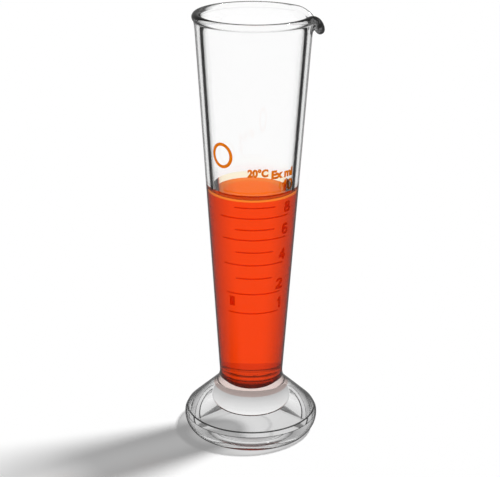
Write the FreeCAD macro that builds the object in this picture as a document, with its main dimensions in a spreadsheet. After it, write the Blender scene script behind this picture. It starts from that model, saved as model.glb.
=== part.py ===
import FreeCAD, Part
import math
import os

import Sketcher

Vector = FreeCAD.Vector
doc = FreeCAD.newDocument("measuring_cylinder")

# Driving dimensions, in millimetres and degrees
SIZES = (
    ("total_height", 105.0, "standing face to the top of the rim"),
    ("foot_radius", 16.5, "widest ring of the foot"),
    ("foot_base_radius", 14.9, "outer edge of the standing face"),
    ("foot_side_height", 4.3, "standing face to the widest ring"),
    ("foot_side_bulge", 0.6, "how far the side swells between its two edges"),
    ("shoulder_radius", 15.95, "ring where the foot's top begins"),
    ("shoulder_height", 5.4, "standing face to that ring"),
    ("shoulder_round", 1.0, "its rounding"),
    ("foot_edge_round", 0.35, "rounding of the widest ring"),
    ("foot_base_round", 0.4, "rounding of the standing face's outer edge"),
    ("foot_slope", 43.0, "slope of the foot's top, from level"),
    ("hollow_base_radius", 13.4, "hollow under the foot, at the standing face"),
    ("hollow_base_round", 0.4, "rounding of its lower edge"),
    ("hollow_top_radius", 7.5, "its flat top"),
    ("hollow_height", 5.0, "standing face to the rim of its top"),
    ("hollow_top_round", 0.4, "rounding of that rim"),
    ("hollow_sag", 0.5, "how far its top hangs down in the middle"),
    ("neck_radius", 7.66, "outside of the tube where it meets the foot"),
    ("neck_round", 4.6, "fillet between tube and foot"),
    ("mouth_radius", 13.74, "outside of the tube just under the rim"),
    ("mouth_drop", 2.3, "top of the rim down to where mouth_radius is taken"),
    ("mouth_wall", 1.4, "wall at the mouth"),
    ("neck_wall", 1.65, "wall at the neck, where the glass is thicker"),
    ("floor_height", 11.0, "standing face to the bottom of the bore"),
    ("floor_round", 4.4, "rounding of the bottom of the bore"),
    ("rim_zone", 11.0, "top stretch of the tube that the rim and spout are worked from"),
    ("bend_zone", 6.0, "top stretch that leans out at the spout"),
    ("bead_radius", 0.95, "section radius of the rolled rim"),
    ("spout_azimuth", 14.0, "direction of the spout, turned from +X"),
    ("spout_reach", 2.5, "how far the bead runs out at the spout"),
    ("spout_drop", 3.9, "how far the bead comes down at the spout"),
    ("spout_curl", 146.0, "how far the lip's section turns over at the spout"),
    ("spout_half_width", 38.0, "half of the rim's arc that the spout takes up"),
    ("liquid_drop", 1.7, "10 ml line down to the middle of the liquid's surface"),
    ("meniscus_rise", 1.6, "climb of the liquid at the wall"),
    ("meniscus_width", 2.6, "width of the ring in which it climbs"),
    ("enamel", 0.08, "thickness of the fired print"),
    ("line_width", 0.3, "stroke of the graduation lines"),
    ("line_turn", 3.5, "middle of the graduation lines, turned from the front"),
    ("long_span_top", 97.0, "arc of the long line at 10"),
    ("long_span_bottom", 81.0, "arc of the long line at 1"),
    ("short_span", 52.0, "arc of a short line"),
    ("numeral_height", 2.85, "height of the numerals"),
    ("numeral_width", 2.05, "width of a round numeral"),
    ("numeral_stroke", 0.62, "stroke of the numerals"),
    ("numeral_gap", 0.65, "line to the foot of its numeral"),
    ("numeral_overhang", 0.7, "how far a numeral passes the end of its line"),
    ("bar_width", 1.35, "printed bar at the left of the lowest line"),
    ("bar_height", 2.5, "its height"),
    ("bar_turn", -30.0, "its direction, turned from the front"),
    ("bar_rise", 3.0, "lowest line up to its middle"),
    ("ring_width", 5.6, "printed oval ring above the scale"),
    ("ring_height", 6.2, "its height"),
    ("ring_stroke", 0.75, "its stroke"),
    ("ring_turn", -37.0, "its direction, turned from the front"),
    ("ring_rise", 9.5, "highest line up to its middle"),
)

# Height of each graduation line, by the volume in millilitres that it marks
LINES = {10: 64.1, 9: 61.2, 8: 58.5, 7: 55.6, 6: 53.0, 5: 49.8, 4: 46.5, 3: 43.0, 2: 38.9, 1: 33.8}
LONG_LINES = (1, 2, 4, 6, 8, 10)

sheet = doc.addObject("Spreadsheet::Sheet", "sizes")
rows = list(SIZES)
for volume, height in LINES.items():
    rows.append((f"line_{volume}_height", height, f"height of the {volume} ml line"))
for row, (alias, value, meaning) in enumerate(rows, start=1):
    sheet.set(f"A{row}", alias)
    sheet.set(f"B{row}", str(value))
    sheet.set(f"C{row}", meaning)
    sheet.setAlias(f"B{row}", alias)

# Sizes that follow from the driving ones
DERIVED = (
    ("side_chord", "sqrt((foot_radius - foot_base_radius) ^ 2 + foot_side_height ^ 2)"),
    ("side_arc_radius", "(foot_side_bulge ^ 2 + side_chord ^ 2 / 4) / (2 * foot_side_bulge)"),
    ("sag_arc_radius", "(hollow_sag ^ 2 + hollow_top_radius ^ 2) / (2 * hollow_sag)"),
    ("neck_height", "shoulder_height + (shoulder_radius - neck_radius) * tan(foot_slope * 1 deg)"),
    ("mouth_height", "total_height - mouth_drop"),
    ("join_height", "total_height - rim_zone"),
    ("bend_height", "total_height - bend_zone"),
    ("taper", "(mouth_radius - neck_radius) / (mouth_height - neck_height)"),
    ("wall_taper", "(mouth_wall - neck_wall) / (mouth_height - neck_height)"),
    ("bore_taper", "taper - wall_taper"),
    ("neck_bore", "neck_radius - neck_wall"),
    ("liquid_level", "line_10_height - liquid_drop"),
    ("contact_height", "liquid_level + meniscus_rise"),
    ("contact_radius", "neck_bore + (contact_height - neck_height) * bore_taper"),
    ("meniscus_radius", "(meniscus_width ^ 2 + meniscus_rise ^ 2) / (2 * meniscus_rise)"),
)
for row, (alias, formula) in enumerate(DERIVED, start=1):
    sheet.set(f"E{row}", alias)
    sheet.set(f"F{row}", f"={formula}")
    sheet.setAlias(f"F{row}", alias)
doc.recompute()


def size(alias):
    """Value of a named size."""
    return float(sheet.get(alias))


def tube_radius(height):
    """Outside radius of the tube at a height."""
    return size("neck_radius") + (height - size("neck_height")) * size("taper")


def bore_radius(height):
    """Inside radius of the tube at a height."""
    return size("neck_bore") + (height - size("neck_height")) * size("bore_taper")


def tube_formula(height):
    """The same outside radius, as a formula on the sheet's names."""
    return f"sizes.neck_radius + ({height} - sizes.neck_height) * sizes.taper"


def bore_formula(height):
    """The same inside radius, as a formula on the sheet's names."""
    return f"sizes.neck_bore + ({height} - sizes.neck_height) * sizes.bore_taper"


# Sketches: closed outlines in the XZ plane, turned about Z
ON_AXIS = 1e-9
SAME_EDGE = 1e-4


def new_body(name):
    """A body, with its origin planes."""
    body = doc.addObject("PartDesign::Body", name)
    body.Label = name
    return body


def outline(body, name, corners, arcs=None):
    """A closed sketch through corners (radius formula, height formula).

    arcs maps the number of a side to (radius formula, how far its middle lies
    from the chord, positive to the right of the way that it is drawn).
    """
    arcs = arcs or {}
    sketch = body.newObject("Sketcher::SketchObject", name)
    plane = [face for face in body.Origin.OriginFeatures if face.Role == "XZ_Plane"][0]
    sketch.AttachmentSupport = (plane, "")
    sketch.MapMode = "FlatFace"
    doc.recompute()
    worked_out = [[float(sketch.evalExpression(formula)) for formula in corner] for corner in corners]
    points = [Vector(x, z, 0) for x, z in worked_out]
    count = len(points)
    for side in range(count):
        start, end = points[side], points[(side + 1) % count]
        if side in arcs:
            bulge = float(sketch.evalExpression(arcs[side][1]))
            across = Vector(end.y - start.y, start.x - end.x, 0).normalize()
            middle = (start + end) * 0.5 + across * bulge
            sketch.addGeometry(Part.Arc(start, middle, end), False)
        else:
            sketch.addGeometry(Part.LineSegment(start, end), False)

    def at_start(side):
        """The vertex number of a side's first end: an arc drawn clockwise has its ends swapped."""
        clockwise = side in arcs and float(sketch.evalExpression(arcs[side][1])) < 0
        return 2 if clockwise else 1

    for side in range(count):
        following = (side + 1) % count
        ends = (side, 3 - at_start(side), following, at_start(following))
        sketch.addConstraint(Sketcher.Constraint("Coincident", *ends))
    for side, (x, z) in enumerate(corners):
        for kind, formula, value in (("DistanceX", x, points[side].x), ("DistanceY", z, points[side].y)):
            if abs(value) < ON_AXIS:
                axis = -2 if kind == "DistanceX" else -1
                sketch.addConstraint(Sketcher.Constraint("PointOnObject", side, at_start(side), axis))
            else:
                number = sketch.addConstraint(Sketcher.Constraint(kind, side, at_start(side), value))
                sketch.setExpression(f"Constraints[{number}]", formula)
    for side, (radius, _) in arcs.items():
        number = sketch.addConstraint(Sketcher.Constraint("Radius", side, sketch.Geometry[side].Radius))
        sketch.setExpression(f"Constraints[{number}]", radius)
    return sketch


def turned(body, kind, name, sketch, angle="360 deg"):
    """The sketch turned about Z, added to or cut from the body."""
    feature = body.newObject(kind, name)
    feature.Profile = sketch
    feature.ReferenceAxis = (sketch, ["V_Axis"])
    feature.setExpression("Angle", angle)
    return feature


def rounded(body, name, base, height, radius, fillet):
    """A fillet on the ring edge of that height and radius."""
    doc.recompute()
    names = []
    for number, edge in enumerate(base.Shape.Edges, start=1):
        if edge.Degenerated or not isinstance(edge.Curve, Part.Circle):
            continue
        off = max(abs(edge.Curve.Center.z - height), abs(edge.Curve.Radius - radius))
        if off < SAME_EDGE:
            names.append(f"Edge{number}")
    feature = body.newObject("PartDesign::Fillet", name)
    feature.Base = (base, names)
    feature.setExpression("Radius", fillet)
    return feature


# The foot and tube: pressed foot, drawn tube and bore, one piece of glass
glass = new_body("foot_and_tube")
glass_outline = outline(
    glass,
    "glass_outline",
    (
        ("0", "sizes.hollow_height - sizes.hollow_sag"),
        ("sizes.hollow_top_radius", "sizes.hollow_height"),
        ("sizes.hollow_base_radius", "0"),
        ("sizes.foot_base_radius", "0"),
        ("sizes.foot_radius", "sizes.foot_side_height"),
        ("sizes.shoulder_radius", "sizes.shoulder_height"),
        ("sizes.neck_radius", "sizes.neck_height"),
        (tube_formula("sizes.join_height"), "sizes.join_height"),
        ("0", "sizes.join_height"),
    ),
    {
        0: ("sizes.sag_arc_radius", "sizes.sag_arc_radius - sqrt(sizes.sag_arc_radius ^ 2 - "
            "(sizes.hollow_top_radius ^ 2 + sizes.hollow_sag ^ 2) / 4)"),
        3: ("sizes.side_arc_radius", "sizes.foot_side_bulge"),
    },
)
solid_glass = turned(glass, "PartDesign::Revolution", "solid_glass", glass_outline)
bore_outline = outline(
    glass,
    "bore_outline",
    (
        ("0", "sizes.floor_height"),
        (bore_formula("sizes.floor_height"), "sizes.floor_height"),
        (bore_formula("sizes.join_height"), "sizes.join_height"),
        ("0", "sizes.join_height"),
    ),
)
bored_glass = turned(glass, "PartDesign::Groove", "bored_glass", bore_outline)
neck, neck_at = size("neck_radius"), size("neck_height")
floor_at = size("floor_height")
ring_edges = (
    ("neck_fillet", neck_at, neck, "sizes.neck_round"),
    ("shoulder", size("shoulder_height"), size("shoulder_radius"), "sizes.shoulder_round"),
    ("widest_ring", size("foot_side_height"), size("foot_radius"), "sizes.foot_edge_round"),
    ("base_edge", 0.0, size("foot_base_radius"), "sizes.foot_base_round"),
    ("hollow_edge", 0.0, size("hollow_base_radius"), "sizes.hollow_base_round"),
    ("hollow_rim", size("hollow_height"), size("hollow_top_radius"), "sizes.hollow_top_round"),
    ("floor_edge", floor_at, bore_radius(floor_at), "sizes.floor_round"),
)
finished_glass = bored_glass
for name, height, radius, fillet in ring_edges:
    finished_glass = rounded(glass, name, finished_glass, height, radius, fillet)
glass.Tip = finished_glass
doc.recompute()

# The rim and spout: the tube's top, flared into a rolled bead and pulled out and down at the spout.
# Each ring below is one closed curve round the mouth, and one skin runs through all of them.
RING_POINTS = 72
WALL_STEPS = (0.0, 0.25, 0.5, 0.75)
BEAD_START = -40
BEAD_ANGLES = (BEAD_START, -10, 20, 50, 80, 110, 140, 180)
# The skin's lowest rings stand this far inside the tube's wall, so that no edges coincide at the join
JOIN_STEP = 0.05
# How each pull of the spout is spread: (share of the spout's half width, power of its fall)
OUTWARD = (0.92, 0.95)
DOWNWARD = (1.0, 2.3)
TURNOVER = (1.0, 1.4)
# Handles of the wall's curves, as (share of the curve's length, or of the bead, and what the curl adds)
OUTSIDE_LEAVING = (0.35, 0.15)
OUTSIDE_ARRIVING = (0.47, 0.42)
INSIDE_LEAVING = (0.35, 0.45)
INSIDE_ARRIVING = (0.30, 0.30)


def spout_share(azimuth, width_share, power):
    """1 in the middle of the spout, falling smoothly to 0 at its sides."""
    turn = abs((azimuth - size("spout_azimuth") + 180) % 360 - 180)
    part = min(turn / (size("spout_half_width") * width_share), 1.0)
    return (0.5 + 0.5 * math.cos(math.pi * part)) ** power


def handle(shares, curl):
    """Length of a curve's handle, where the lip has turned over by so much."""
    return shares[0] + shares[1] * curl


def bezier(start, leaving, arriving, end, step):
    """A point of the cubic curve from start to end, with its two handles."""
    back = 1 - step
    return (start * back ** 3 + leaving * (3 * back ** 2 * step)
            + arriving * (3 * back * step ** 2) + end * step ** 3)


def rim_section(azimuth):
    """The rim's section at one azimuth: (radius, 0, height) points, up the outside and down the inside."""
    out = spout_share(azimuth, *OUTWARD)
    down = spout_share(azimuth, *DOWNWARD)
    curl = spout_share(azimuth, *TURNOVER)
    top, bead = size("total_height"), size("bead_radius")
    join, bend = size("join_height"), size("bend_height")
    halfway = (join + bend) / 2
    upright = math.degrees(math.atan(size("taper")))
    along_tube = Vector(math.sin(math.radians(upright)), 0, math.cos(math.radians(upright)))
    lean = math.radians(upright + (size("spout_curl") - upright) * curl)
    along = Vector(math.sin(lean), 0, math.cos(lean))
    across = Vector(math.cos(lean), 0, -math.sin(lean))
    reach = bore_radius(top - bead) + bead + size("spout_reach") * out
    centre = Vector(reach, 0, top - bead - size("spout_drop") * down)

    def on_bead(angle):
        turn = math.radians(angle)
        return centre + across * (bead * math.cos(turn)) + along * (bead * math.sin(turn))

    def outside(height):
        return Vector(tube_radius(height), 0, height)

    def inside(height):
        return Vector(bore_radius(height), 0, height)

    step_in = Vector(JOIN_STEP, 0, 0)
    points = [outside(join) - step_in, outside(halfway)]
    start, end = outside(bend), on_bead(BEAD_START)
    bead_turn = math.radians(BEAD_START)
    arriving = across * -math.sin(bead_turn) + along * math.cos(bead_turn)
    length = (end - start).Length
    leaving_handle = start + along_tube * (length * handle(OUTSIDE_LEAVING, curl))
    arriving_handle = end - arriving * (bead * handle(OUTSIDE_ARRIVING, curl))
    points += [bezier(start, leaving_handle, arriving_handle, end, step) for step in WALL_STEPS]
    points += [on_bead(angle) for angle in BEAD_ANGLES]
    start, end = inside(bend), on_bead(BEAD_ANGLES[-1])
    length = (end - start).Length
    leaving_handle = start + along_tube * (length * handle(INSIDE_LEAVING, curl))
    arriving_handle = end - along * (length * handle(INSIDE_ARRIVING, curl))
    down_steps = reversed(WALL_STEPS)
    points += [bezier(start, leaving_handle, arriving_handle, end, step) for step in down_steps]
    return points + [inside(halfway), inside(join) + step_in]


def rim_skin():
    """The closed solid of the rim and spout, standing on the tube's top ring."""
    azimuths = [360 * number / RING_POINTS for number in range(RING_POINTS)]
    sections = [rim_section(azimuth) for azimuth in azimuths]
    ring_poles = []
    for place in range(len(sections[0])):
        points = []
        for azimuth, section in zip(azimuths, sections):
            angle, point = math.radians(azimuth), section[place]
            points.append(Vector(point.x * math.cos(angle), point.x * math.sin(angle), point.z))
        ring = Part.BSplineCurve()
        turns = [number / RING_POINTS for number in range(RING_POINTS + 1)]
        ring.interpolate(Points=points, PeriodicFlag=True, Parameters=turns)
        ring_poles.append(ring.getPoles())
    plain_section, travelled = rim_section(180), [0.0]
    for before, after in zip(plain_section, plain_section[1:]):
        travelled.append(travelled[-1] + (after - before).Length)
    columns = []
    for number in range(len(ring_poles[0])):
        column = Part.BSplineCurve()
        column.interpolate(Points=[poles[number] for poles in ring_poles], Parameters=travelled)
        columns.append(column)
    surface = Part.BSplineSurface()
    surface.buildFromPolesMultsKnots(
        [column.getPoles() for column in columns],
        ring.getMultiplicities(),
        columns[0].getMultiplicities(),
        ring.getKnots(),
        columns[0].getKnots(),
        True,
        False,
        ring.Degree,
        columns[0].Degree,
    )
    skin = surface.toShape()
    rims = [edge for edge in skin.Edges if edge.isClosed()]
    ends = Part.Face([Part.Wire([edge]) for edge in sorted(rims, key=lambda edge: -edge.Length)])
    shell = Part.makeShell([skin, ends])
    shell.sewShape()
    return Part.makeSolid(shell)


rim = doc.addObject("Part::Feature", "rim_and_spout")
rim.Label = "rim_and_spout"
rim.Shape = rim_skin()
cylinder = doc.addObject("Part::Feature", "glass_cylinder")
cylinder.Label = "glass_cylinder"
cylinder.Shape = glass.Shape.fuse([rim.Shape])
cylinder.Placement = FreeCAD.Placement()
doc.recompute()

# The liquid: it fills the bore to just under the 10 ml line and climbs a little at the wall
liquid = new_body("liquid")
liquid_outline = outline(
    liquid,
    "liquid_outline",
    (
        ("0", "sizes.floor_height"),
        (bore_formula("sizes.floor_height"), "sizes.floor_height"),
        ("sizes.contact_radius", "sizes.contact_height"),
        ("sizes.contact_radius - sizes.meniscus_width", "sizes.liquid_level"),
        ("0", "sizes.liquid_level"),
    ),
    {
        2: ("sizes.meniscus_radius", "-(sizes.meniscus_radius - sqrt(sizes.meniscus_radius ^ 2 - "
            "(sizes.meniscus_width ^ 2 + sizes.meniscus_rise ^ 2) / 4))"),
    },
)
liquid_solid = turned(liquid, "PartDesign::Revolution", "liquid_solid", liquid_outline)
floor_edge = (floor_at, bore_radius(floor_at))
liquid.Tip = rounded(liquid, "liquid_floor", liquid_solid, *floor_edge, "sizes.floor_round")
doc.recompute()

# The graduation lines: fired enamel, each a thin band on the outside of the tube
FRONT = -90
line_bodies = []


def long_span(volume):
    """Arc of a long line, which shortens evenly from the 10 ml line down to the 1 ml line."""
    above = f"(sizes.line_{volume}_height - sizes.line_1_height)"
    scale = "(sizes.line_10_height - sizes.line_1_height)"
    growth = "(sizes.long_span_top - sizes.long_span_bottom)"
    return f"sizes.long_span_bottom + {growth} * {above} / {scale}"


for volume in LINES:
    line = new_body(f"line_{volume}_ml")
    low = f"sizes.line_{volume}_height - sizes.line_width / 2"
    high = f"sizes.line_{volume}_height + sizes.line_width / 2"
    band = outline(
        line,
        f"band_{volume}",
        (
            (tube_formula(f"({low})"), low),
            (tube_formula(f"({low})") + " + sizes.enamel", low),
            (tube_formula(f"({high})") + " + sizes.enamel", high),
            (tube_formula(f"({high})"), high),
        ),
    )
    span = long_span(volume) if volume in LONG_LINES else "sizes.short_span"
    stroke = turned(line, "PartDesign::Revolution", f"stroke_{volume}", band, f"({span}) * 1 deg")
    stroke.Midplane = True
    line.Tip = stroke
    line.Placement.Rotation = FreeCAD.Rotation(Vector(0, 0, 1), FRONT + size("line_turn"))
    line_bodies.append(line)
doc.recompute()


# The numerals, bar and ring: flat strokes pressed onto a thin coat around the tube.
# A figure is a list of strokes, each a face with x across and z up, that cross or touch.
FLAG_SHARE = 0.3
STAMP_REACH = 1.5


def block(left, low, right, high):
    """A rectangle of print."""
    return leaning_block(left, low, left, high, right - left)


def leaning_block(left, low, left_high, high, width):
    """A stroke with level ends, from its foot at left to its top at left_high."""
    across = ((left, low), (left + width, low), (left_high + width, high), (left_high, high))
    corners = [Vector(x, 0, z) for x, z in across]
    return Part.Face(Part.makePolygon(corners + corners[:1]))


def oval(left, low, right, high):
    """A filled oval between four limits."""
    wide, tall = (right - left) / 2, (high - low) / 2
    middle = Vector(left + wide, 0, low + tall)
    ends = [(wide, middle + Vector(wide, 0, 0)), (tall, middle + Vector(0, 0, tall))]
    (_, minor), (_, major) = sorted(ends, key=lambda end: end[0])
    return Part.Face(Part.Wire([Part.Ellipse(major, minor, middle).toShape()]))


def ring(left, low, right, high, stroke):
    """An oval with an oval hole, with an even stroke."""
    hole = oval(left + stroke, low + stroke, right - stroke, high - stroke)
    return oval(left, low, right, high).cut(hole)


def one(tall, wide, stroke):
    """1: an upright with a short flag."""
    left = wide * FLAG_SHARE
    flag_low, flag_high = tall * 0.66, tall * 0.88
    return [block(left, 0, left + stroke, tall), leaning_block(0, flag_low, left, flag_high, stroke)]


def two(tall, wide, stroke):
    """2: a round top, a leaning stroke and a level foot."""
    bowl_low, left_end, right_end = tall * 0.42, tall * 0.72, tall * 0.56
    lean_low, lean_high, lean_width = stroke * 0.9, tall * 0.58, stroke * 1.2
    head = ring(0, bowl_low, wide, tall, stroke)
    head = head.cut(block(-stroke, bowl_low - stroke, wide / 2, left_end))
    head = head.cut(block(-stroke, bowl_low - stroke, wide + stroke, right_end))
    lean = leaning_block(0, lean_low, wide - lean_width, lean_high, lean_width)
    return [head, lean, block(0, 0, wide, stroke)]


def four(tall, wide, stroke):
    """4: an upright, a level bar and a leaning stroke."""
    past_upright, bar_low, lean_low = stroke * 0.6, tall * 0.22, tall * 0.3
    left = wide - past_upright - stroke
    upright = block(left, 0, left + stroke, tall)
    bar = block(0, bar_low, wide, bar_low + stroke)
    lean = leaning_block(0, lean_low, left, tall, stroke * 0.95)
    return [upright, bar, lean]


def six(tall, wide, stroke):
    """6: a full bowl below and a tail that curls over it."""
    bowl_top, left_end, right_end = tall * 0.64, tall * 0.3, tall * 0.74
    tail = ring(0, 0, wide, tall, stroke)
    tail = tail.cut(block(wide / 2, -stroke, wide + stroke, right_end))
    tail = tail.cut(block(-stroke, -stroke, wide + stroke, left_end))
    return [ring(0, 0, wide, bowl_top, stroke), tail]


def eight(tall, wide, stroke):
    """8: two bowls that share their middle stroke."""
    waist, inset, lap = tall * 0.56, wide * 0.06, stroke * 0.3
    lower = ring(0, 0, wide, waist + lap, stroke)
    upper = ring(inset, waist - lap, wide - inset, tall, stroke * 0.92)
    return [lower, upper]


def ten(tall, wide, stroke):
    """10: the two figures side by side."""
    nought = ring(0, 0, wide, tall, stroke)
    nought.translate(Vector(wide * FLAG_SHARE + stroke + stroke * 0.5, 0, 0))
    return one(tall, wide, stroke) + [nought]


NUMERALS = {10: ten, 8: eight, 6: six, 4: four, 2: two, 1: one}


def enamel_coat(low, high):
    """The space that print can take on the tube between two heights."""
    inner_low, inner_high, thick = tube_radius(low), tube_radius(high), size("enamel")
    outer = Part.makeCone(inner_low + thick, inner_high + thick, high - low, Vector(0, 0, low))
    return outer.cut(Part.makeCone(inner_low, inner_high, high - low, Vector(0, 0, low)))


def print_solid(strokes, azimuth, low):
    """A figure centred on an azimuth, its foot at a height, as enamel on the tube."""
    box = Part.Compound(strokes).BoundBox
    margin = size("numeral_stroke")
    coat = enamel_coat(low - margin, low + box.ZMax + margin)
    pieces = []
    for stroke in strokes:
        stamp = stroke.extrude(Vector(0, -tube_radius(low) * STAMP_REACH, 0))
        stamp.translate(Vector(-(box.XMin + box.XMax) / 2, 0, low))
        stamp.rotate(Vector(0, 0, 0), Vector(0, 0, 1), azimuth - FRONT)
        pieces.append(coat.common(stamp))
    return pieces[0].fuse(pieces[1:]) if len(pieces) > 1 else pieces[0]


def add_print(name, strokes, azimuth, low):
    """A print node."""
    node = doc.addObject("Part::Feature", name)
    node.Label = name
    node.Shape = print_solid(strokes, azimuth, low)
    node.Placement = FreeCAD.Placement()
    return node


print_nodes = []
for volume, draw in NUMERALS.items():
    strokes = draw(size("numeral_height"), size("numeral_width"), size("numeral_stroke"))
    height = size(f"line_{volume}_height")
    low_span, high_span = size("long_span_bottom"), size("long_span_top")
    share = (height - size("line_1_height")) / (size("line_10_height") - size("line_1_height"))
    line_end = size("line_turn") + (low_span + (high_span - low_span) * share) / 2
    offset = size("numeral_overhang") - Part.Compound(strokes).BoundBox.XLength / 2
    azimuth = FRONT + line_end + math.degrees(offset / tube_radius(height))
    print_nodes.append(add_print(f"numeral_{volume}", strokes, azimuth, height + size("numeral_gap")))

bar = block(0, 0, size("bar_width"), size("bar_height"))
bar_low = size("line_1_height") + size("bar_rise") - size("bar_height") / 2
print_nodes.append(add_print("printed_bar", [bar], FRONT + size("bar_turn"), bar_low))
mark = ring(0, 0, size("ring_width"), size("ring_height"), size("ring_stroke"))
ring_low = size("line_10_height") + size("ring_rise") - size("ring_height") / 2
print_nodes.append(add_print("printed_ring", [mark], FRONT + size("ring_turn"), ring_low))
doc.recompute()

# Check every object, then write each sub-part
nodes = [cylinder, liquid] + line_bodies + print_nodes
for item in doc.Objects:
    if "Invalid" in item.State or "Error" in item.State:
        raise RuntimeError(f"{item.Label} failed: {item.State}")
for node in nodes:
    if node.Shape.isNull() or not node.Shape.isValid():
        raise RuntimeError(f"{node.Label} has no valid shape")
os.makedirs("parts", exist_ok=True)
for node in nodes:
    node.Shape.exportStep(f"parts/{node.Label}.step")
    print(f"{node.Label}: solids {len(node.Shape.Solids)}, volume {node.Shape.Volume:.3f} mm3")
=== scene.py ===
import math

import bmesh
import bpy
from mathutils import Matrix, Vector


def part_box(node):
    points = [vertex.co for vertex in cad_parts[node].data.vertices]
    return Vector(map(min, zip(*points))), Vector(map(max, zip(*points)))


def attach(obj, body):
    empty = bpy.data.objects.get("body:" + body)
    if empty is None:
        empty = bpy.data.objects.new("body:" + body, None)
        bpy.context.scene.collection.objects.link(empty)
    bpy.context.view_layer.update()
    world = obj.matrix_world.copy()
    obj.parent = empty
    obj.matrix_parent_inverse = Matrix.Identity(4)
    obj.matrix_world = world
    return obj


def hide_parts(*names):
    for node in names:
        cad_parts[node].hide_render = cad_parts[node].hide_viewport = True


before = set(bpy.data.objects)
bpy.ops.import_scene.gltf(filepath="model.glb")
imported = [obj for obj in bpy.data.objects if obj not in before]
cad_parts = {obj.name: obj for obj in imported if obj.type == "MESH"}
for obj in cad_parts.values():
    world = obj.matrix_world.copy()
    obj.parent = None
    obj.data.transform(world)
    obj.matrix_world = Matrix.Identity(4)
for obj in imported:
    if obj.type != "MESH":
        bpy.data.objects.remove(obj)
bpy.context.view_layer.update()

# The glass cylinder is one piece of clear laboratory glass. Its foot is pressed, its tube is drawn to
# a taper, and the top is flared in the flame into a rolled rim and pulled out into a pouring spout.
MM = 0.001
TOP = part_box("glass_cylinder")[1].z
CONTACT_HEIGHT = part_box("liquid")[1].z
FOOT_RADIUS = 16.5 * MM
FOOT_BASE_RADIUS = 14.9 * MM
FOOT_BASE_ROUND = 0.4 * MM
FOOT_SIDE_BULGE = 0.6 * MM
FOOT_SIDE_HEIGHT = 4.3 * MM
FOOT_EDGE_ROUND = 0.35 * MM
SHOULDER_RADIUS = 15.95 * MM
SHOULDER_HEIGHT = 5.4 * MM
SHOULDER_ROUND = 1.0 * MM
FOOT_SLOPE = math.radians(43)
HOLLOW_BASE_RADIUS = 13.4 * MM
HOLLOW_BASE_ROUND = 0.4 * MM
HOLLOW_TOP_RADIUS = 7.5 * MM
HOLLOW_TOP_ROUND = 0.4 * MM
HOLLOW_HEIGHT = 5.0 * MM
HOLLOW_SAG = 0.5 * MM
NECK_RADIUS = 7.66 * MM
NECK_ROUND = 4.6 * MM
NECK_WALL = 1.65 * MM
MOUTH_RADIUS = 13.74 * MM
MOUTH_HEIGHT = TOP - 2.3 * MM
MOUTH_WALL = 1.4 * MM
FLOOR_HEIGHT = 11.0 * MM
FLOOR_ROUND = 4.4 * MM
JOIN_HEIGHT = TOP - 11.0 * MM
BEND_HEIGHT = TOP - 6.0 * MM
BEAD_RADIUS = 0.95 * MM
SPOUT_REACH = 2.5 * MM
SPOUT_DROP = 3.9 * MM
# The spout's angles, in degrees
SPOUT_AZIMUTH = 14.0
SPOUT_CURL = 146.0
SPOUT_HALF_WIDTH = 38.0
# How each pull of the spout is spread: (share of the spout's half width, power of its fall)
OUTWARD = (0.92, 0.95)
DOWNWARD = (1.0, 2.3)
TURNOVER = (1.0, 1.4)
# Handles of the wall's curves, as (share of the curve's length, or of the bead, and what the curl adds)
OUTSIDE_LEAVING = (0.35, 0.15)
OUTSIDE_ARRIVING = (0.47, 0.42)
INSIDE_LEAVING = (0.35, 0.45)
INSIDE_ARRIVING = (0.30, 0.30)

NECK_HEIGHT = SHOULDER_HEIGHT + (SHOULDER_RADIUS - NECK_RADIUS) * math.tan(FOOT_SLOPE)
TAPER = (MOUTH_RADIUS - NECK_RADIUS) / (MOUTH_HEIGHT - NECK_HEIGHT)
BORE_TAPER = TAPER - (MOUTH_WALL - NECK_WALL) / (MOUTH_HEIGHT - NECK_HEIGHT)


def tube_radius(height):
    """Outside radius of the tube at a height."""
    return NECK_RADIUS + (height - NECK_HEIGHT) * TAPER


def bore_radius(height):
    """Inside radius of the tube at a height."""
    return NECK_RADIUS - NECK_WALL + (height - NECK_HEIGHT) * BORE_TAPER


def shallow_arc(start, end, bulge, steps):
    """Points along an arc from start to end whose middle stands off the chord, to the right of it."""
    chord = end - start
    along = chord.normalized()
    across = Vector((chord.y, -chord.x)).normalized()
    radius = (chord.length_squared / 4 + bulge * bulge) / (2 * bulge)
    half = math.asin(chord.length / 2 / radius)
    centre = (start + end) / 2 + across * (bulge - radius)
    points = []
    for step in range(steps + 1):
        turn = half * (2 * step / steps - 1)
        points.append(centre + across * (radius * math.cos(turn)) + along * (radius * math.sin(turn)))
    return points


def rounded_path(corners, steps=12):
    """A path through (point, fillet) corners, with an arc where a corner has a fillet."""
    path = [corners[0][0]]
    for (before, _), (here, fillet), (after, _) in zip(corners, corners[1:], corners[2:]):
        if not fillet:
            path.append(here)
            continue
        back, on = (before - here).normalized(), (after - here).normalized()
        half = math.acos(max(-1.0, min(1.0, back.dot(on)))) / 2
        centre = here + (back + on).normalized() * (fillet / math.sin(half))
        start = here + back * (fillet / math.tan(half)) - centre
        end = here + on * (fillet / math.tan(half)) - centre
        sweep = math.atan2(start.x * end.y - start.y * end.x, start.dot(end))
        for step in range(steps + 1):
            turn = sweep * step / steps
            path.append(centre + Matrix.Rotation(turn, 2) @ start)
    return path + [corners[-1][0]]


def along_wall(radius_at, low, high, steps):
    """Points up a straight tapered wall, without its two ends."""
    heights = [low + (high - low) * step / steps for step in range(1, steps)]
    return [Vector((radius_at(height), height)) for height in heights]


def spout_share(azimuth, width_share, power):
    """1 in the middle of the spout, falling smoothly to 0 at its sides."""
    turn = abs((azimuth - SPOUT_AZIMUTH + 180) % 360 - 180)
    part = min(turn / (SPOUT_HALF_WIDTH * width_share), 1.0)
    return (0.5 + 0.5 * math.cos(math.pi * part)) ** power


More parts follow.
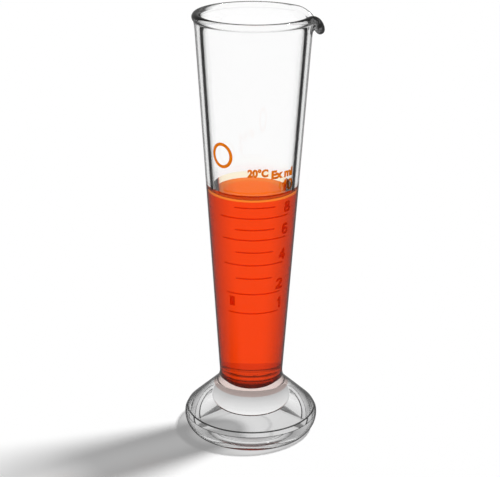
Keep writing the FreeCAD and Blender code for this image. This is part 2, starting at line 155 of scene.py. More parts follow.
def bezier(start, leaving, arriving, end, steps):
    """Points of a cubic curve, without its last."""
    points = []
    for step in range(steps):
        on = step / steps
        back = 1 - on
        points.append(start * back ** 3 + leaving * (3 * back * back * on)
                      + arriving * (3 * back * on * on) + end * on ** 3)
    return points


# Steps of the rim's section: up the straight wall, along its curve and round the bead, whose angles
# are in degrees from the middle of its outer side
STRAIGHT_STEPS = 3
WALL_STEPS = 20
BEAD_STEPS = 22
BEAD_START = -40
BEAD_END = 180
RIM_START = STRAIGHT_STEPS - 1 + WALL_STEPS
BORE_START = RIM_START + BEAD_STEPS


def rim_section(azimuth):
    """The rim's section at one azimuth, from the join up the outside, over the bead and down the inside."""
    out = spout_share(azimuth, *OUTWARD)
    down = spout_share(azimuth, *DOWNWARD)
    curl = spout_share(azimuth, *TURNOVER)
    upright = math.atan(TAPER)
    along_tube = Vector((math.sin(upright), math.cos(upright)))
    lean = upright + (math.radians(SPOUT_CURL) - upright) * curl
    along = Vector((math.sin(lean), math.cos(lean)))
    across = Vector((math.cos(lean), -math.sin(lean)))
    bead_height = TOP - BEAD_RADIUS
    reach = bore_radius(bead_height) + BEAD_RADIUS + SPOUT_REACH * out
    centre = Vector((reach, bead_height - SPOUT_DROP * down))

    def on_bead(degrees):
        turn = math.radians(degrees)
        return centre + (across * math.cos(turn) + along * math.sin(turn)) * BEAD_RADIUS

    turn = math.radians(BEAD_START)
    arriving = across * -math.sin(turn) + along * math.cos(turn)
    start, end = Vector((tube_radius(BEND_HEIGHT), BEND_HEIGHT)), on_bead(BEAD_START)
    length = (end - start).length
    leaving_handle = start + along_tube * (length * (OUTSIDE_LEAVING[0] + OUTSIDE_LEAVING[1] * curl))
    arriving_handle = end - arriving * (BEAD_RADIUS * (OUTSIDE_ARRIVING[0] + OUTSIDE_ARRIVING[1] * curl))
    points = along_wall(tube_radius, JOIN_HEIGHT, BEND_HEIGHT, STRAIGHT_STEPS)
    points += bezier(start, leaving_handle, arriving_handle, end, WALL_STEPS)
    bead_arc = BEAD_END - BEAD_START
    points += [on_bead(BEAD_START + bead_arc * step / BEAD_STEPS) for step in range(BEAD_STEPS)]
    start, end = Vector((bore_radius(BEND_HEIGHT), BEND_HEIGHT)), on_bead(BEAD_END)
    length = (end - start).length
    leaving_handle = start + along_tube * (length * (INSIDE_LEAVING[0] + INSIDE_LEAVING[1] * curl))
    arriving_handle = end - along * (length * (INSIDE_ARRIVING[0] + INSIDE_ARRIVING[1] * curl))
    points += bezier(end, arriving_handle, leaving_handle, start, WALL_STEPS)
    return points + [start] + along_wall(bore_radius, JOIN_HEIGHT, BEND_HEIGHT, STRAIGHT_STEPS)[::-1]


def closed_skin(name, azimuths, columns, materials, bands):
    """A closed mesh through one column of (radius, height) points per azimuth, whose ends lie on the axis.

    The bands give the number of the material that starts at a point of the columns.
    """
    count = len(columns[0]) - 2
    points = [(0, 0, columns[0][0].y), (0, 0, columns[0][-1].y)]
    for azimuth, column in zip(azimuths, columns):
        turn = math.radians(azimuth)
        points += [(p.x * math.cos(turn), p.x * math.sin(turn), p.y) for p in column[1:-1]]
    faces = []
    for number in range(len(columns)):
        here = 2 + number * count
        following = 2 + (number + 1) % len(columns) * count
        faces.append((0, following, here))
        faces.append((1, here + count - 1, following + count - 1))
        for step in range(count - 1):
            faces.append((here + step, following + step, following + step + 1, here + step + 1))
    mesh = bpy.data.meshes.new(name)
    mesh.from_pydata(points, [], faces)
    shape = bmesh.new()
    shape.from_mesh(mesh)
    bmesh.ops.recalc_face_normals(shape, faces=shape.faces)
    shape.to_mesh(mesh)
    shape.free()
    mesh.shade_smooth()
    for material in materials:
        mesh.materials.append(material)
    rows = [0, count] + list(range(1, count))
    for face in mesh.polygons:
        row = rows[face.index % (count + 1)]
        face.material_index = [number for start, number in bands if row >= start][-1]
    return mesh


def stand(mesh):
    """An object for a finished mesh, at the origin."""
    piece = bpy.data.objects.new(mesh.name, mesh)
    bpy.context.scene.collection.objects.link(piece)
    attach(piece, "root")
    return piece


# Columns close together round the spout and wider apart elsewhere
SPOUT_COLUMN_STEP = 1.0
PLAIN_COLUMNS = 126
azimuths = []
azimuth = SPOUT_AZIMUTH - SPOUT_HALF_WIDTH
while azimuth < SPOUT_AZIMUTH + SPOUT_HALF_WIDTH:
    azimuths.append(azimuth)
    azimuth += SPOUT_COLUMN_STEP
plain_arc = 360 - 2 * SPOUT_HALF_WIDTH
azimuths += [azimuth + plain_arc * number / PLAIN_COLUMNS for number in range(PLAIN_COLUMNS)]

# The outline from the middle of the hollow, round the foot and up to the join. The hollow's top hangs
# down a little in the middle, as half of a shallow arc.
HOLLOW_STEPS = 16
SIDE_STEPS = 8
FILLED_STEPS = 20
EMPTY_STEPS = 10
sag_curve = (HOLLOW_TOP_RADIUS ** 2 + HOLLOW_SAG ** 2) / (2 * HOLLOW_SAG)
sag_bulge = sag_curve - math.sqrt(sag_curve ** 2 - (HOLLOW_TOP_RADIUS ** 2 + HOLLOW_SAG ** 2) / 4)
hollow_rim = Vector((HOLLOW_TOP_RADIUS, HOLLOW_HEIGHT))
hollow_middle = Vector((0, HOLLOW_HEIGHT - HOLLOW_SAG))
hollow_top = shallow_arc(hollow_middle, hollow_rim, sag_bulge, HOLLOW_STEPS)
foot_path = [(point, 0) for point in hollow_top[:-1]] + [(hollow_rim, HOLLOW_TOP_ROUND)]
foot_path += [(Vector((HOLLOW_BASE_RADIUS, 0)), HOLLOW_BASE_ROUND)]
base_edge = Vector((FOOT_BASE_RADIUS, 0))
widest_edge = Vector((FOOT_RADIUS, FOOT_SIDE_HEIGHT))
shoulder = Vector((SHOULDER_RADIUS, SHOULDER_HEIGHT))
join = Vector((tube_radius(JOIN_HEIGHT), JOIN_HEIGHT))
side = shallow_arc(base_edge, widest_edge, FOOT_SIDE_BULGE, SIDE_STEPS)
foot_path += [(side[0], FOOT_BASE_ROUND)] + [(point, 0) for point in side[1:-1]]
foot_path += [(side[-1], FOOT_EDGE_ROUND), (shoulder, SHOULDER_ROUND)]
foot_path += [(Vector((NECK_RADIUS, NECK_HEIGHT)), NECK_ROUND), (join, 0)]
up = rounded_path(foot_path)
foot_length = len(up) - 2
tube_start = up[-2].y
wall_at_contact = Vector((tube_radius(CONTACT_HEIGHT), CONTACT_HEIGHT))
up[-1:] = along_wall(tube_radius, tube_start, CONTACT_HEIGHT, FILLED_STEPS) + [wall_at_contact]
filled_length = len(up) - 1
up += along_wall(tube_radius, CONTACT_HEIGHT, JOIN_HEIGHT, EMPTY_STEPS) + [join]

# The foot's rounded edges, each as its corner and how far its painted dark line reaches, a painted shade
ROUNDED_EDGES = (
    (shoulder, 0.28 * MM),
    (widest_edge, 0.30 * MM),
    (base_edge, 0.35 * MM),
    (hollow_rim, 0.25 * MM),
)
# The solid glass under the liquid is painted with some of the liquid's colour between these heights, a
# painted reflection of the liquid
SOLID_NECK = (8.6 * MM, 15.4 * MM)
# The glass's materials, by number, which differ in their painted shade, in the neck's painted reflection
# and in the wetted wall's bending: the bands say at which point of the outline each one starts
FOOT, EDGE, NECK, FILLED, EMPTY, RIM, BORE, WETTED = range(8)
bands = []
for row in range(foot_length):
    middle = (up[row] + up[row + 1]) / 2
    on_edge = any((middle - corner).length < reach for corner, reach in ROUNDED_EDGES)
    in_neck = SOLID_NECK[0] < middle.y < SOLID_NECK[1]
    bands.append((row, EDGE if on_edge else NECK if in_neck else FOOT))

# Steps down the bore's dry wall and its wet wall, and round the edge of its floor
DRY_STEPS = 16
WET_STEPS = 24
FLOOR_STEPS = 20


def down_to_floor(lap, top):
    """The bore's wall from a height down to the middle of its floor, moved outward by a lap."""
    wall = Vector((bore_radius(top) + lap, top))
    corner = Vector((bore_radius(FLOOR_HEIGHT) + lap, FLOOR_HEIGHT - lap))
    floor_middle = Vector((0, FLOOR_HEIGHT - lap))
    path = rounded_path([(wall, 0), (corner, FLOOR_ROUND), (floor_middle, 0)], FLOOR_STEPS)
    straight = along_wall(lambda height: bore_radius(height) + lap, path[1].y, top, WET_STEPS)
    return path[:1] + straight[::-1] + path[1:]


dry_bore = [Vector((bore_radius(JOIN_HEIGHT), JOIN_HEIGHT))]
dry_bore += along_wall(bore_radius, CONTACT_HEIGHT, JOIN_HEIGHT, DRY_STEPS)[::-1]
dry_bore.append(Vector((bore_radius(CONTACT_HEIGHT), CONTACT_HEIGHT)))
wet_bore = down_to_floor(0.0, CONTACT_HEIGHT)

# Clear borosilicate glass, colourless and fire polished, with faint waves from the drawing. Its colour is
# painted darker where a ray meets it at a grazing angle: painted shade, dark lines in place of dark
# surroundings that the glass would bend and mirror, with stops of their own for each band of the glass.
# Its shadow is pale with dark edges. Each painted shade and each shadow tint is given as (facing,
# brightness) stops. WET_IOR is the glass's against the liquid.
GLASS_IOR = 1.474
WET_IOR = 1.104
FOOT_PAINTED_SHADE = ((0.0, 1.0), (0.35, 0.95), (0.55, 0.8), (0.68, 0.45), (0.78, 0.1), (1.0, 0.0))
EDGE_PAINTED_SHADE = ((0.0, 0.12), (0.4, 0.08), (0.7, 0.03), (1.0, 0.0))
FILLED_PAINTED_SHADE = ((0.60, 1.0), (0.70, 0.8), (0.78, 0.25), (0.88, 0.1), (1.0, 0.0))
TUBE_PAINTED_SHADE = (
    (0.44, 1.0), (0.49, 0.7), (0.52, 0.03), (0.60, 0.03), (0.64, 0.8), (0.71, 0.97), (0.76, 0.4), (1.0, 0.1),
)
RIM_PAINTED_SHADE = ((0.30, 1.0), (0.40, 0.7), (0.52, 0.12), (0.80, 0.08), (1.0, 0.0))
BORE_PAINTED_SHADE = ((0.45, 1.0), (0.60, 0.9), (0.72, 0.7), (0.78, 0.3), (0.84, 0.02), (1.0, 0.0))
EVEN = ((0.0, 1.0), (1.0, 1.0))
COLOURLESS = (1.0, 1.0, 1.0)
# The neck's colour, a painted reflection of the orange liquid
NECK_PAINTED_REFLECTION = (0.66, 0.45, 0.40)
DRAWN_WAVES = 260.0
DRAWN_ALONG = (1.0, 1.0, 0.25)
WAVE_DEPTH = 0.012 * MM
GLASS_SHADOW = ((0.0, 0.84), (0.5, 0.78), (0.75, 0.4), (1.0, 0.1))
FOOT_SHADOW = ((0.0, 0.80), (0.5, 0.70), (0.75, 0.3), (1.0, 0.05))
EDGE_SHADOW = ((0.0, 0.3), (1.0, 0.05))


def clear_material(name, ior):
    """A material with one transmitting shader."""
    material = bpy.data.materials.new(name)
    material.use_nodes = True
    tree = material.node_tree
    tree.nodes.clear()
    shader = tree.nodes.new("ShaderNodeBsdfPrincipled")
    shader.inputs["Base Color"].default_value = (1.0, 1.0, 1.0, 1.0)
    shader.inputs["Roughness"].default_value = 0.0
    shader.inputs["Transmission Weight"].default_value = 1.0
    shader.inputs["IOR"].default_value = ior
    return material, tree, shader


def colour_ramp(tree, stops, power=1, colour=COLOURLESS):
    """A ramp of one colour through (place, brightness) stops."""
    ramp = tree.nodes.new("ShaderNodeValToRGB")
    while len(ramp.color_ramp.elements) < len(stops):
        ramp.color_ramp.elements.new(0.5)
    for element, (place, brightness) in zip(ramp.color_ramp.elements, stops):
        element.position = place
        element.color = [channel * brightness ** power for channel in colour] + [1.0]
    return ramp


def by_angle(tree, stops, power, socket, colour=COLOURLESS):
    """Feeds a colour socket by the angle at which a ray meets the surface, through a tint's stops."""
    angle = tree.nodes.new("ShaderNodeLayerWeight")
    ramp = colour_ramp(tree, stops, power, colour)
    tree.links.new(angle.outputs["Facing"], ramp.inputs[0])
    tree.links.new(ramp.outputs["Color"], socket)


def let_lamps_through(tree, shader, stops):
    """Shadow rays meet a clear surface, tinted by their angle, in place of the shader."""
    path = tree.nodes.new("ShaderNodeLightPath")
    clear = tree.nodes.new("ShaderNodeBsdfTransparent")
    by_angle(tree, stops, 1, clear.inputs["Color"])
    mix = tree.nodes.new("ShaderNodeMixShader")
    tree.links.new(path.outputs["Is Shadow Ray"], mix.inputs[0])
    tree.links.new(shader.outputs[0], mix.inputs[1])
    tree.links.new(clear.outputs[0], mix.inputs[2])
    output = tree.nodes.new("ShaderNodeOutputMaterial")
    tree.links.new(mix.outputs[0], output.inputs["Surface"])


glasses = []
for name, ior, stops, colour, shadow in (
    ("clear_glass_foot", GLASS_IOR, FOOT_PAINTED_SHADE, COLOURLESS, FOOT_SHADOW),
    ("clear_glass_edge", GLASS_IOR, EDGE_PAINTED_SHADE, COLOURLESS, EDGE_SHADOW),
    ("clear_glass_neck", GLASS_IOR, FOOT_PAINTED_SHADE, NECK_PAINTED_REFLECTION, GLASS_SHADOW),
    ("clear_glass_filled_tube", GLASS_IOR, FILLED_PAINTED_SHADE, COLOURLESS, GLASS_SHADOW),
    ("clear_glass_tube", GLASS_IOR, TUBE_PAINTED_SHADE, COLOURLESS, GLASS_SHADOW),
    ("clear_glass_rim", GLASS_IOR, RIM_PAINTED_SHADE, COLOURLESS, GLASS_SHADOW),
    ("clear_glass_bore", GLASS_IOR, BORE_PAINTED_SHADE, COLOURLESS, GLASS_SHADOW),
    ("clear_glass_wetted", WET_IOR, EVEN, COLOURLESS, GLASS_SHADOW),
):
    glass, glass_tree, glass_shader = clear_material(name, ior)
    # The base colour carries the painted shade by angle, and at the neck a painted reflection of the liquid
    by_angle(glass_tree, stops, 2, glass_shader.inputs["Base Color"], colour)
    waves = glass_tree.nodes.new("ShaderNodeTexNoise")
    waves.inputs["Scale"].default_value = DRAWN_WAVES
    waves.inputs["Detail"].default_value = 1.0
    waves_place = glass_tree.nodes.new("ShaderNodeTexCoord")
    drawn = glass_tree.nodes.new("ShaderNodeVectorMath")
    drawn.operation = "MULTIPLY"
    drawn.inputs[1].default_value = DRAWN_ALONG
    bump = glass_tree.nodes.new("ShaderNodeBump")
    bump.inputs["Strength"].default_value = 1.0
    bump.inputs["Distance"].default_value = WAVE_DEPTH
    glass_tree.links.new(waves_place.outputs["Object"], drawn.inputs[0])
    glass_tree.links.new(drawn.outputs[0], waves.inputs["Vector"])
    glass_tree.links.new(waves.outputs[0], bump.inputs["Height"])
    glass_tree.links.new(bump.outputs[0], glass_shader.inputs["Normal"])
    let_lamps_through(glass_tree, glass_shader, shadow)
    glasses.append(glass)

columns = [up + rim_section(azimuth) + dry_bore + wet_bore[1:] for azimuth in azimuths]
wet_start = len(up) + len(rim_section(0)) + len(dry_bore) - 1
bands += [(foot_length, FILLED), (filled_length, EMPTY)]
bands += [(len(up) + RIM_START, RIM), (len(up) + BORE_START, BORE), (wet_start, WETTED)]
vessel = stand(closed_skin("vessel", azimuths, columns, glasses, bands))
vessel.visible_diffuse = False
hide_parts("glass_cylinder")

# The liquid is water with an orange dye, poured in up to the 10 ml line. It wets the glass, so it
# climbs the wall in a small ring, and it laps into the wall a little so that no air shows between.
# The glass bends the light for both, and the liquid only tints it.
LAP = 0.03 * MM
MENISCUS_RISE = 1.6 * MM
MENISCUS_WIDTH = 2.6 * MM
MENISCUS_STEPS = 16
LIQUID_COLUMNS = 160
TINT_ONLY_IOR = 1.0
DYE_AT_WALL = (0.96, 0.055, 0.0005)
DYE_AT_TOP = (1.0, 0.45, 0.004)
# The wall goes darker where a ray meets it at a grazing angle, towards the liquid's sides and bottom:
# painted shade
DYE_WALL_PAINTED_SHADE = ((0.0, 1.0), (0.08, 0.98), (0.22, 0.68), (0.34, 0.42), (0.44, 0.22), (1.0, 0.1))
DYE_IN_RING = (1.0, 0.93, 0.72)
# Seen from under the surface the ring takes a painted shade, and seen at a grazing angle it goes dark,
# another painted shade
RING_BELOW_PAINTED_SHADE = (0.35, 0.12, 0.05, 1.0)
RING_GRAZING_PAINTED_SHADE = ((0.0, 1.0), (0.5, 1.0), (0.72, 0.85), (0.86, 0.12), (1.0, 0.05))
DYE_SHADOW = ((0.0, 0.76), (0.6, 0.7), (1.0, 0.2))

level = CONTACT_HEIGHT - MENISCUS_RISE
meniscus_radius = (MENISCUS_WIDTH ** 2 + MENISCUS_RISE ** 2) / (2 * MENISCUS_RISE)
contact = bore_radius(CONTACT_HEIGHT)
surface = []
for step in range(MENISCUS_STEPS + 1):
    outward = MENISCUS_WIDTH * (1 - step / MENISCUS_STEPS)
    climb = meniscus_radius - math.sqrt(meniscus_radius ** 2 - outward ** 2)
    surface.append(Vector((contact - MENISCUS_WIDTH + outward, level + climb)))
surface.append(Vector((0, level)))
ring_edge = Vector((contact + LAP, CONTACT_HEIGHT))
liquid_path = surface[::-1] + [ring_edge] + down_to_floor(LAP, level)
liquid_azimuths = [360 * number / LIQUID_COLUMNS for number in range(LIQUID_COLUMNS)]
dyes = []
for name, colour, stops in (
    ("dyed_water_top", DYE_AT_TOP, EVEN),
    ("dyed_water_ring", DYE_IN_RING, RING_GRAZING_PAINTED_SHADE),
    ("dyed_water_edge", DYE_IN_RING, EVEN),
    ("dyed_water_wall", DYE_AT_WALL, DYE_WALL_PAINTED_SHADE),
):
    dye, dye_tree, dye_shader = clear_material(name, TINT_ONLY_IOR)
    by_angle(dye_tree, stops, 1, dye_shader.inputs["Base Color"], colour)
    let_lamps_through(dye_tree, dye_shader, DYE_SHADOW)
    dyes.append(dye)
# The ring takes a dark painted shade from under the surface, where it turns the light away
SURFACE, RING, WETTED_EDGE, WALL = range(4)
ring_tree = dyes[RING].node_tree
ring_shader = next(node for node in ring_tree.nodes if node.type == "BSDF_PRINCIPLED")
ring_colour = ring_shader.inputs["Base Color"]
from_above = ring_colour.links[0].from_socket
sides = ring_tree.nodes.new("ShaderNodeNewGeometry")
two_sides = ring_tree.nodes.new("ShaderNodeMix")
two_sides.data_type = "RGBA"
ring_tree.links.new(sides.outputs["Backfacing"], two_sides.inputs["Factor"])
ring_tree.links.new(from_above, two_sides.inputs["A"])
two_sides.inputs["B"].default_value = RING_BELOW_PAINTED_SHADE
ring_tree.links.new(two_sides.outputs["Result"], ring_colour)
liquid_columns = [liquid_path] * LIQUID_COLUMNS
edge_start = len(surface)
liquid_bands = ((0, SURFACE), (1, RING), (edge_start, WETTED_EDGE), (edge_start + 1, WALL))
liquid = stand(closed_skin("dyed_liquid", liquid_azimuths, liquid_columns, dyes, liquid_bands))
liquid.visible_diffuse = False
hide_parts("liquid")

# The graduation lines are amber stain printed through a screen and fired into the glass. Each is a
# thin stroke that wraps the front of the tube: long at 1, 2, 4, 6, 8 and 10 ml, short at the others.
FRONT = math.radians(-90)
LINE_TURN = math.radians(3.5)
STROKE = 0.30 * MM
STAIN_THICKNESS = 0.05 * MM
STAIN_SUNK = 0.02 * MM
LONG_LINES = (1, 2, 4, 6, 8, 10)
LONG_SPAN_TOP = math.radians(97)
LONG_SPAN_BOTTOM = math.radians(81)
SHORT_SPAN = math.radians(52)
ARC_POINTS = 97
AMBER = (0.90, 0.45, 0.06, 1.0)
AMBER_BODY = (0.45, 0.09, 0.01, 1.0)
AMBER_BODY_SHARE = (0.03, 0.15)
AMBER_ROUGHNESS = 0.35
AMBER_GRAIN = 1500.0
AMBER_GRAIN_DETAIL = 3.0
AMBER_GRAIN_RANGE = (0.3, 0.7)

line_height = {}
for volume in range(1, 11):
    line_low, line_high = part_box(f"line_{volume}_ml")
    line_height[volume] = (line_low.z + line_high.z) / 2


def long_span(height):
    """Arc of a long line, which shortens evenly down the scale."""
    share = (height - line_height[1]) / (line_height[10] - line_height[1])
    return LONG_SPAN_BOTTOM + (LONG_SPAN_TOP - LONG_SPAN_BOTTOM) * share


starts = bpy.data.meshes.new("line_starts")
starts.from_pydata([(0, 0, height) for height in line_height.values()], [], [])
spans = starts.attributes.new("span", "FLOAT", "POINT")
for number, (volume, height) in enumerate(line_height.items()):
    spans.data[number].value = long_span(height) if volume in LONG_LINES else SHORT_SPAN

tree = bpy.data.node_groups.new("graduation lines", "GeometryNodeTree")
tree.interface.new_socket("Geometry", in_out="INPUT", socket_type="NodeSocketGeometry")
LINE_INPUTS = {
    "Stroke": STROKE,
    "Thickness": STAIN_THICKNESS,
    "Sunk": STAIN_SUNK,
    "Middle": FRONT + LINE_TURN,
    "Neck Radius": NECK_RADIUS,
    "Neck Height": NECK_HEIGHT,
    "Taper": TAPER,
}
for title in LINE_INPUTS:
    tree.interface.new_socket(title, in_out="INPUT", socket_type="NodeSocketFloat")
tree.interface.new_socket("Material", in_out="INPUT", socket_type="NodeSocketMaterial")
tree.interface.new_socket("Geometry", in_out="OUTPUT", socket_type="NodeSocketGeometry")
given = tree.nodes.new("NodeGroupInput").outputs


def feed(owner, socket, value):
    """Links another node's result to a socket of the owner's nodes, or sets it to a plain value."""
    if isinstance(value, bpy.types.NodeSocket):
        owner.links.new(value, socket)
    else:
        socket.default_value = value


def math_result(owner, operation, first, second):
    """The result of a math node among the owner's nodes."""
    made = owner.nodes.new("ShaderNodeMath")
    made.operation = operation
    for socket, value in zip(made.inputs, (first, second)):
        feed(owner, socket, value)
    return made.outputs[0]


def node(kind, **inputs):
    """A node of the lines' tree, with its inputs linked or set by name."""
    made = tree.nodes.new(kind)
    for title, value in inputs.items():
        feed(tree, made.inputs[title.replace("_", " ")], value)
    return made


def calculate(operation, first, second=0.0):
    """A math node's result in the lines' tree."""
    return math_result(tree, operation, first, second)


def stored(title, kind):
    """A named attribute's value."""
    made = tree.nodes.new("GeometryNodeInputNamedAttribute")
    made.data_type = kind
    made.inputs["Name"].default_value = title
    return made.outputs[0]


unit_bar = node("GeometryNodeMeshCube", Vertices_X=ARC_POINTS)
keep_unit = tree.nodes.new("GeometryNodeStoreNamedAttribute")
keep_unit.data_type = "FLOAT_VECTOR"
keep_unit.inputs["Name"].default_value = "unit"
tree.links.new(unit_bar.outputs["Mesh"], keep_unit.inputs["Geometry"])
tree.links.new(node("GeometryNodeInputPosition").outputs[0], keep_unit.inputs["Value"])
bars = node("GeometryNodeInstanceOnPoints", Points=given["Geometry"], Instance=keep_unit.outputs[0])
real = node("GeometryNodeRealizeInstances", Geometry=bars.outputs[0])
unit = node("ShaderNodeSeparateXYZ", Vector=stored("unit", "FLOAT_VECTOR")).outputs
place = node("ShaderNodeSeparateXYZ", Vector=node("GeometryNodeInputPosition").outputs[0]).outputs
middle_height = calculate("SUBTRACT", place["Z"], unit["Z"])
height = calculate("ADD", middle_height, calculate("MULTIPLY", unit["Z"], given["Stroke"]))
above_neck = calculate("SUBTRACT", height, given["Neck Height"])
on_glass = calculate("ADD", given["Neck Radius"], calculate("MULTIPLY", above_neck, given["Taper"]))
depth = calculate("MULTIPLY", calculate("ADD", unit["Y"], 0.5), given["Thickness"])
radius = calculate("ADD", calculate("SUBTRACT", on_glass, given["Sunk"]), depth)
turn = calculate("ADD", given["Middle"], calculate("MULTIPLY", unit["X"], stored("span", "FLOAT")))
bent = node(
    "ShaderNodeCombineXYZ",
    X=calculate("MULTIPLY", radius, calculate("COSINE", turn)),
    Y=calculate("MULTIPLY", radius, calculate("SINE", turn)),
    Z=height,
)
wrapped = node("GeometryNodeSetPosition", Geometry=real.outputs[0], Position=bent.outputs[0])
stained = node("GeometryNodeSetMaterial", Geometry=wrapped.outputs[0], Material=given["Material"])
tree.links.new(stained.outputs[0], tree.nodes.new("NodeGroupOutput").inputs["Geometry"])

# The stain's finish: it filters the light that comes through the glass and has a little body of its
# own, in a fine uneven grain
amber = bpy.data.materials.new("amber_stain")
amber.use_nodes = True
amber_nodes, amber_links = amber.node_tree.nodes, amber.node_tree.links
amber_nodes.clear()
filter_shader = amber_nodes.new("ShaderNodeBsdfTransparent")
filter_shader.inputs["Color"].default_value = AMBER
body_shader = amber_nodes.new("ShaderNodeBsdfPrincipled")
body_shader.inputs["Base Color"].default_value = AMBER_BODY
body_shader.inputs["Roughness"].default_value = AMBER_ROUGHNESS
stain_mix = amber_nodes.new("ShaderNodeMixShader")
grain = amber_nodes.new("ShaderNodeTexNoise")
grain.inputs["Scale"].default_value = AMBER_GRAIN
grain.inputs["Detail"].default_value = AMBER_GRAIN_DETAIL
grain_place = amber_nodes.new("ShaderNodeTexCoord")
uneven = amber_nodes.new("ShaderNodeMapRange")
for title, value in zip(("From Min", "From Max", "To Min", "To Max"), AMBER_GRAIN_RANGE + AMBER_BODY_SHARE):
    uneven.inputs[title].default_value = value
amber_links.new(grain_place.outputs["Object"], grain.inputs["Vector"])
amber_links.new(grain.outputs[0], uneven.inputs["Value"])
amber_links.new(uneven.outputs["Result"], stain_mix.inputs[0])
amber_links.new(filter_shader.outputs[0], stain_mix.inputs[1])
amber_links.new(body_shader.outputs[0], stain_mix.inputs[2])
amber_output = amber_nodes.new("ShaderNodeOutputMaterial")
amber_links.new(stain_mix.outputs[0], amber_output.inputs["Surface"])

line_source = bpy.data.objects.new("line_source", starts)
bpy.context.scene.collection.objects.link(line_source)
modifier = line_source.modifiers.new("lines", "NODES")
modifier.node_group = tree
sockets = {item.name: item.identifier for item in tree.interface.items_tree if item.in_out == "INPUT"}
for title, value in LINE_INPUTS.items():
    modifier[sockets[title]] = value
modifier[sockets["Material"]] = amber
evaluated = line_source.evaluated_get(bpy.context.evaluated_depsgraph_get())
lines_mesh = bpy.data.meshes.new_from_object(evaluated)
lines_mesh.name = "graduation_lines"
bpy.data.objects.remove(line_source)
lines = stand(lines_mesh)
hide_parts(*[f"line_{volume}_ml" for volume in line_height])

# The numerals, the bar at the lowest line and the oval ring above the scale are fired on with the
# same amber stain, so they keep their own shapes and take its finish.
PRINTED = [f"numeral_{volume}" for volume in (10, 8, 6, 4, 2, 1)] + ["printed_bar", "printed_ring"]
for name in PRINTED:
    for printed_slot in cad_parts[name].material_slots:
        printed_slot.material = amber

# The caption beside the top line gives the temperature and the unit, as laboratory glass does. It is
# amber stain as well, printed and fired together with the scale.
LETTER_WEIGHT = 0.06
LETTER_HALF_DEPTH = 0.5
# Each part of it: its name, its words, its sides in degrees from the front, and its foot and top
CAPTION = (
    ("temperature_caption", "20°C", -5.9, 18.5, 68.88 * MM, 70.98 * MM),
    ("unit_caption", "Ex ml", 22.3, 53.7, 68.21 * MM, 70.34 * MM),
)
for name, words, left, right, low, high in CAPTION:
    lettering = bpy.data.curves.new(name, "FONT")
    lettering.body = words
    lettering.offset = LETTER_WEIGHT
    lettering.extrude = LETTER_HALF_DEPTH
    flat = bpy.data.objects.new(name, lettering)
    bpy.context.scene.collection.objects.link(flat)
    evaluated = flat.evaluated_get(bpy.context.evaluated_depsgraph_get())
    caption_mesh = bpy.data.meshes.new_from_object(evaluated)
    bpy.data.objects.remove(flat)
    caption_mesh.name = name
    xs = [vertex.co.x for vertex in caption_mesh.vertices]
    ys = [vertex.co.y for vertex in caption_mesh.vertices]
    for vertex in caption_mesh.vertices:
        across = (vertex.co.x - min(xs)) / (max(xs) - min(xs))
        height = low + (high - low) * (vertex.co.y - min(ys)) / (max(ys) - min(ys))
        turn = FRONT + math.radians(left + (right - left) * across)
        radius = tube_radius(height) - STAIN_SUNK + STAIN_THICKNESS * (vertex.co.z + LETTER_HALF_DEPTH)
        vertex.co = (radius * math.cos(turn), radius * math.sin(turn), height)
    caption_mesh.materials.append(amber)
    caption = stand(caption_mesh)

# The floor is a plain pale sheet that runs far back. It looks the same through the glass, and it is
# dimmer where the glass mirrors it.
FLOOR_SIZE = 8.0
FLOOR_COLOUR = (1.0, 1.0, 1.0, 1.0)
FLOOR_MIRRORED = (0.25, 0.25, 0.25, 1.0)

floor_mesh = bpy.data.meshes.new("floor")
half = FLOOR_SIZE / 2
floor_corners = [(-half, -half, 0), (half, -half, 0), (half, half, 0), (-half, half, 0)]
floor_mesh.from_pydata(floor_corners, [], [(0, 1, 2, 3)])
floor = bpy.data.objects.new("floor", floor_mesh)
bpy.context.scene.collection.objects.link(floor)
paper = bpy.data.materials.new("pale_paper")
paper.use_nodes = True
paper_nodes, paper_links = paper.node_tree.nodes, paper.node_tree.links
paper_shader = paper_nodes["Principled BSDF"]
paper_shader.inputs["Roughness"].default_value = 1.0
paper_shader.inputs["Specular IOR Level"].default_value = 0.0
path = paper_nodes.new("ShaderNodeLightPath")
mirrored = paper_nodes.new("ShaderNodeMath")
mirrored.operation = "SUBTRACT"
paper_links.new(path.outputs["Is Glossy Ray"], mirrored.inputs[0])
paper_links.new(path.outputs["Is Transmission Ray"], mirrored.inputs[1])
colour = paper_nodes.new("ShaderNodeMix")
colour.data_type = "RGBA"
colour.inputs["A"].default_value = FLOOR_COLOUR
colour.inputs["B"].default_value = FLOOR_MIRRORED
paper_links.new(mirrored.outputs[0], colour.inputs["Factor"])
paper_links.new(colour.outputs["Result"], paper_shader.inputs["Base Color"])
floor_mesh.materials.append(paper)

# The studio: an even pale surround, and one large soft lamp behind the right shoulder of the object,
# which throws its shadow to the left and a little forward. SKY is what the glass shows of the
# surround, as (height, brightness) stops.
AMBIENT = 0.30
LAMP_AZIMUTH = math.radians(32)
LAMP_ELEVATION = math.radians(58)
LAMP_ANGLE = math.radians(9)
LAMP_LEVEL = 0.70
SKY = ((0.0, 1.0), (0.15, 0.9), (0.4, 0.7), (0.7, 0.35), (1.0, 0.4))
SKY_MIRRORED = 0.3

world = bpy.data.worlds.new("studio")
bpy.context.scene.world = world
world.use_nodes = True
world_tree = world.node_tree
world_nodes, world_links = world_tree.nodes, world_tree.links
background = world_nodes["Background"]
path = world_nodes.new("ShaderNodeLightPath")


def world_math(operation, first, second):
    """A math node's result in the world's tree."""
    return math_result(world_tree, operation, first, second)


def world_mix(share, first, second):
    """A value between two others in the world's tree."""
    made = world_nodes.new("ShaderNodeMix")
    made.data_type = "FLOAT"
    for title, value in (("Factor", share), ("A", first), ("B", second)):
        feed(world_tree, made.inputs[title], value)
    return made.outputs["Result"]


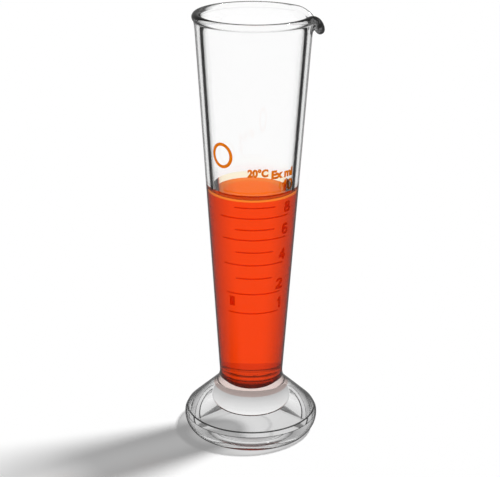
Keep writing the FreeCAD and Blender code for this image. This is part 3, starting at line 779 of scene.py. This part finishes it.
direction = world_nodes.new("ShaderNodeTexCoord")
parts = world_nodes.new("ShaderNodeSeparateXYZ")
world_links.new(direction.outputs["Generated"], parts.inputs[0])
sky = colour_ramp(world_tree, SKY)
world_links.new(parts.outputs["Z"], sky.inputs[0])
by_glass = world_math("MAXIMUM", path.outputs["Is Glossy Ray"], path.outputs["Is Transmission Ray"])
before_paper = world_math("LESS_THAN", path.outputs["Diffuse Depth"], 0.5)
by_glass = world_math("MULTIPLY", by_glass, before_paper)
mirrored_only = world_math("SUBTRACT", path.outputs["Is Glossy Ray"], path.outputs["Is Transmission Ray"])
seen_sky = world_math("MULTIPLY", sky.outputs["Color"], world_mix(mirrored_only, 1.0, SKY_MIRRORED))
brightness = world_mix(by_glass, AMBIENT, seen_sky)
brightness = world_mix(path.outputs["Is Camera Ray"], brightness, 1.0)
world_links.new(brightness, background.inputs["Strength"])
background.inputs["Color"].default_value = (1.0, 1.0, 1.0, 1.0)

lamp_data = bpy.data.lights.new("soft_lamp", "SUN")
lamp_data.angle = LAMP_ANGLE
lamp_data.energy = LAMP_LEVEL * math.pi / math.sin(LAMP_ELEVATION)
lamp = bpy.data.objects.new("soft_lamp", lamp_data)
bpy.context.scene.collection.objects.link(lamp)
lamp.visible_transmission = False
towards_lamp = Vector((
    math.cos(LAMP_AZIMUTH) * math.cos(LAMP_ELEVATION),
    math.sin(LAMP_AZIMUTH) * math.cos(LAMP_ELEVATION),
    math.sin(LAMP_ELEVATION),
))
lamp.rotation_euler = (-towards_lamp).to_track_quat("-Z", "Y").to_euler()

# The camera stands in front of the object, a third of a metre off, and looks down at it by about
# 20 degrees through a long lens. Its level and heading differ a little from square.
CAMERA_PLACE = Vector((0, -334.3, 173.4)) * MM
CAMERA_PITCH = 0.3543
CAMERA_YAW = -0.0015
CAMERA_ROLL = 0.0071
CAMERA_LENS = 105.93

camera_data = bpy.data.cameras.new("camera")
camera_data.lens = CAMERA_LENS
camera_data.sensor_width = 36.0
camera_data.clip_start = 0.01
camera = bpy.data.objects.new("camera", camera_data)
bpy.context.scene.collection.objects.link(camera)
turned = Matrix.Rotation(-CAMERA_YAW, 3, "Z") @ Matrix.Rotation(math.pi / 2 - CAMERA_PITCH, 3, "X")
turned = turned @ Matrix.Rotation(CAMERA_ROLL, 3, "Z")
camera.matrix_world = Matrix.Translation(CAMERA_PLACE) @ turned.to_4x4()
bpy.context.scene.camera = camera
bpy.context.scene.view_settings.view_transform = "Standard"
# Light crosses many walls of clear glass before it ends
tracing = bpy.context.scene.cycles
tracing.max_bounces = 32
tracing.transmission_bounces = 32
tracing.glossy_bounces = 16
tracing.transparent_max_bounces = 32
